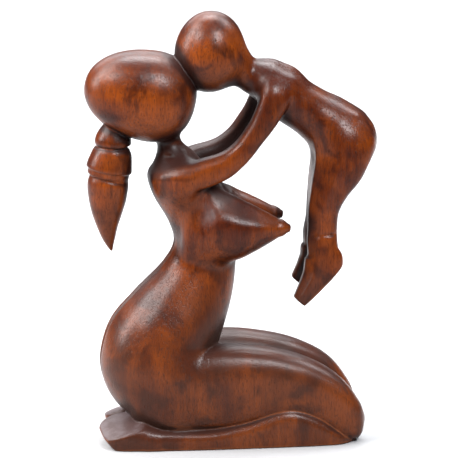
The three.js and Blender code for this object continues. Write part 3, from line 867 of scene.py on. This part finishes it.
# Colours, then each noise with its size, stretch and shift, then where each comes in (from,
# to) and how strongly it covers.
waxedWood = {
    # deep is the dark of the grain, and also the painted shade in the hollows and creases, between the
    # arms, under the heads and on the child's shins
    "deep": (0.010, 0.0018, 0.0008),
    "body": (0.056, 0.0085, 0.0016),
    "warm": (0.188, 0.0365, 0.0032),
    "dusty": (0.048, 0.0135, 0.0060),
    "pore": (0.008, 0.0018, 0.0008),
    # top is painted shade with a painted sky reflection, for up-facing wood
    "top": (0.030, 0.0095, 0.0070),
    "low": (0.056, 0.0220, 0.0120),
    # lighter worn wood on the edges, also a painted highlight along the ridges
    "wornAndHighlit": (0.200, 0.0560, 0.0160),
    # pale dust and a painted sheen on the soles, a painted sheen in the armpits
    "dustAndSheen": (0.080, 0.0580, 0.0600),
    "noises": {
        "sway": dict(scale=9.0, stretch=(1, 1, 0.5)),
        "fibre": dict(scale=1.0, stretch=(850, 850, 26), detail=3.0, rough=0.62),
        "streak": dict(scale=1.0, stretch=(230, 230, 11), detail=3.0, rough=0.6, shift=(3, 1, 7)),
        "pores": dict(scale=1.0, stretch=(1500, 1500, 300), detail=1.0, shift=(9, 4, 2)),
        "flecks": dict(scale=1.0, stretch=(900, 900, 210), detail=1.0, shift=(1, 8, 5)),
        "patch": dict(scale=22.0, stretch=(1, 1, 0.8), detail=3.0, rough=0.55, distortion=0.4),
        "blotch": dict(scale=55.0, stretch=(1, 1, 0.85), detail=3.0, rough=0.6, distortion=0.3,
                       shift=(5, 5, 5)),
        "haze": dict(scale=14.0, stretch=(1, 1, 0.8), shift=(2, 7, 1)),
    },
    "spans": {
        "pores": (0.60, 0.70), "flecks": (0.58, 0.72), "fibre": (0.46, 0.68),
        "warm": (0.28, 0.72), "dusty": (0.48, 0.68), "dark": (0.51, 0.66),
        "hollow": (0.10, 0.50), "crease": (0.12, 0.6), "low": (0.055, 0.125), "upward": (0.1, 0.9),
        "wornAndHighlit": (0.08, 0.28), "noEdgeInFolds": (0.04, 0.25), "dustAndSheen": (0.40, 0.60),
    },
    "shares": {
        "dusty": 0.5, "dark": 0.5, "ring": 0.08, "fibre": 0.32, "pores": 0.5, "flecks": 0.35,
        "hollow": 0.95, "crease": 0.8, "low": 0.35, "top": 0.6, "wornAndHighlit": 0.45,
    },
    "warmth": {"patch": 1.1, "blotch": 0.55, "streak": 0.32, "less": 0.52},
    "dustAndSheenAmount": {"least": 0.25, "more": 0.6},
    "pith": (0.05, 0.11),            # where the rings centre, beyond her left side
    "ringWidth": 0.0062, "ringSway": 0.05, "ringPower": 1.5,
    "roughness": {"least": 0.26, "fibre": 0.12, "pores": 0.15, "paintedShade": 0.15, "haze": 0.10, "less": 0.08},
    "relief": {"pores": 0.6, "flecks": 0.5, "fibre": 0.5, "ring": 0.15},
    "bumpStrength": 0.22, "bumpDistance": 0.0006,
    "ior": 1.30,
}


def makeWaxedWood():
    look = waxedWood
    spans, shares = look["spans"], look["shares"]
    material = bpy.data.materials.new("waxedWood")
    material.use_nodes = True
    tree = material.node_tree
    tree.nodes.clear()
    place = node(tree, "TexCoord", {}, {}, output="Object")

    def noise(scale, stretch, detail=2.0, rough=0.5, distortion=0.0, shift=(0, 0, 0)):
        moved = node(tree, "Mapping", {}, {"Vector": place, "Location": shift, "Scale": stretch})
        sockets = {"Vector": moved, "Scale": scale, "Detail": detail, "Roughness": rough,
                   "Distortion": distortion}
        return node(tree, "TexNoise", {}, sockets)

    def mark(name):
        return node(tree, "Attribute", {"attribute_name": name}, {}, output="Fac")

    def along(axis):
        return node(tree, "SeparateXYZ", {}, {"Vector": place}, output=axis)

    noises = {name: noise(**settings) for name, settings in look["noises"].items()}
    fibre, patch, blotch, haze = (noises[name] for name in ("fibre", "patch", "blotch", "haze"))
    pores, flecks = (noises[name].between(*spans[name]) for name in ("pores", "flecks"))
    hollow, crease, edge = mark("hollow"), mark("crease"), mark("edge")

    # rings round the pith, wandering with height
    apart, aside = along("X") - look["pith"][0], along("Y") - look["pith"][1]
    radius = (apart * apart + aside * aside) ** 0.5 + noises["sway"] * look["ringSway"]
    wave = (radius * (2 * math.pi / look["ringWidth"])).math("SINE")
    ring = (wave * 0.5 + 0.5) ** look["ringPower"]

    # stain that took unevenly, over the grain and the pores
    warmth = look["warmth"]
    warm = patch * warmth["patch"] + blotch * warmth["blotch"] + noises["streak"] * warmth["streak"]
    warm = (warm - warmth["less"]).between(*spans["warm"])
    colour = mixColour(tree, warm, look["body"], look["warm"])
    colour = mixColour(tree, haze.between(*spans["dusty"]) * shares["dusty"], colour, look["dusty"])
    colour = mixColour(tree, (1 - blotch).between(*spans["dark"]) * shares["dark"], colour, look["deep"])
    colour = mixColour(tree, ring * shares["ring"], colour, look["deep"])
    colour = mixColour(tree, fibre.between(*spans["fibre"]) * shares["fibre"], colour, look["deep"])
    colour = mixColour(tree, pores * shares["pores"] + flecks * shares["flecks"], colour, look["pore"])

    # painted shade in the hollows and creases, duller at the foot, painted shade and a painted sky
    # reflection on up-facing wood, lighter worn wood and a painted highlight on the edges, pale dust and a
    # painted sheen on the soles and in the armpits
    paintedShade = (hollow.between(*spans["hollow"]) * shares["hollow"]
             + crease.between(*spans["crease"]) * shares["crease"]).clamped()
    colour = mixColour(tree, paintedShade, colour, look["deep"])
    colour = mixColour(tree, (1 - along("Z").between(*spans["low"])) * shares["low"], colour, look["low"])
    # painted shade and a painted sky reflection on up-facing wood
    colour = mixColour(tree, mark("upward").between(*spans["upward"]) * shares["top"], colour, look["top"])
    # lighter worn wood on the edges, also a painted highlight along the ridges, kept out of the folds
    wornAndHighlit = edge.between(*spans["wornAndHighlit"]) * (1 - hollow.between(*spans["noEdgeInFolds"])) * shares["wornAndHighlit"]
    colour = mixColour(tree, wornAndHighlit, colour, look["wornAndHighlit"])
    # pale dust and a painted sheen on the soles, a painted sheen in the armpits
    dustAndSheen = look["dustAndSheenAmount"]["least"] + blotch.between(*spans["dustAndSheen"]) * look["dustAndSheenAmount"]["more"]
    colour = mixColour(tree, mark("dustAndSheen") * dustAndSheen, colour, look["dustAndSheen"])

    dull, relief = look["roughness"], look["relief"]
    roughness = (dull["least"] + fibre * dull["fibre"] + pores * dull["pores"] + paintedShade * dull["paintedShade"]
                 + haze * dull["haze"] - dull["less"]).clamped()
    height = ((1 - pores) * relief["pores"] + (1 - flecks) * relief["flecks"]
              + (1 - fibre) * relief["fibre"] + ring * relief["ring"])
    bump = node(tree, "Bump", {}, {
        "Height": height, "Strength": look["bumpStrength"], "Distance": look["bumpDistance"],
    })
    shader = node(tree, "BsdfPrincipled", {}, {
        "Base Color": colour, "Roughness": roughness, "Normal": bump, "IOR": look["ior"],
    })
    node(tree, "OutputMaterial", {}, {"Surface": shader})
    return material


carving = makeCarving()
carving.data.materials.clear()
carving.data.materials.append(makeWaxedWood())
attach(carving, "root")
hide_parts("mother_and_child")
print("carving made")


# The pale floor, and a little light from the sky.
def makeStudio():
    room = {
        "floorSize": 12.0, "floorColour": (0.32, 0.32, 0.324), "floorRoughness": 0.9,
        "sky": (0.80, 0.86, 0.95), "skyStrength": 0.05,
    }
    mesh = bpy.data.meshes.new("floor")
    half = room["floorSize"] / 2
    corners = [(-half, -half, 0), (half, -half, 0), (half, half, 0), (-half, half, 0)]
    mesh.from_pydata(corners, [], [(0, 1, 2, 3)])
    floor = bpy.data.objects.new("floor", mesh)
    bpy.context.collection.objects.link(floor)
    material = bpy.data.materials.new("paleFloor")
    material.use_nodes = True
    tree = material.node_tree
    tree.nodes.clear()
    shader = node(tree, "BsdfPrincipled", {}, {
        "Base Color": (*room["floorColour"], 1), "Roughness": room["floorRoughness"],
    })
    node(tree, "OutputMaterial", {}, {"Surface": shader})
    mesh.materials.append(material)
    world = bpy.data.worlds.new("sky")
    bpy.context.scene.world = world
    world.use_nodes = True
    background = world.node_tree.nodes["Background"]
    background.inputs["Color"].default_value = (*room["sky"], 1)
    background.inputs["Strength"].default_value = room["skyStrength"]
    bpy.context.scene.view_settings.view_transform = "Standard"


# Each lamp: the way to it, how far off it is, its width and height, power and colour, and
# how far behind the carving it points.
lampAim = (0, 0, 0.14)
lamps = {
    "leftWindow": dict(azimuth=-92, elevation=35, away=1.3, width=0.42, height=1.2, power=33,
                       colour=(1.0, 0.985, 0.98), behind=0),
    "leftFront": dict(azimuth=-60, elevation=42, away=1.5, width=0.45, height=0.45, power=17,
                      colour=(1.0, 0.985, 0.97), behind=0),
    "overhead": dict(azimuth=176, elevation=66, away=1.3, width=0.6, height=0.5, power=14,
                     colour=(0.95, 0.97, 1.0), behind=0),
    "topFront": dict(azimuth=23, elevation=45, away=1.4, width=0.5, height=0.55, power=29,
                     colour=(0.95, 0.97, 1.0), behind=0),
    "rightFill": dict(azimuth=106, elevation=53, away=1.6, width=0.6, height=0.6, power=10,
                      colour=(0.90, 0.94, 1.0), behind=0),
    "backWall": dict(azimuth=184, elevation=33, away=2.3, width=2.4, height=1.0, power=34,
                     colour=(0.94, 0.97, 1.0), behind=0),
    "farFloor": dict(azimuth=180, elevation=64, away=1.5, width=3.0, height=0.8, power=90,
                     colour=(1.0, 1.0, 1.0), behind=1.5),
}


def makeLamps():
    for name, lamp in lamps.items():
        light = bpy.data.lights.new(name, "AREA")
        light.shape = "RECTANGLE"
        light.size, light.size_y = lamp["width"], lamp["height"]
        light.energy, light.color = lamp["power"], lamp["colour"]
        made = bpy.data.objects.new(name, light)
        bpy.context.collection.objects.link(made)
        reach = wayTo(lamp["azimuth"], lamp["elevation"]) * lamp["away"]
        made.location = Vector(lampAim) + reach
        made.rotation_mode = "QUATERNION"
        made.rotation_quaternion = (reach - Vector((0, lamp["behind"], 0))).to_track_quat("Z", "Y")


makeStudio()
makeLamps()
print("studio lit")
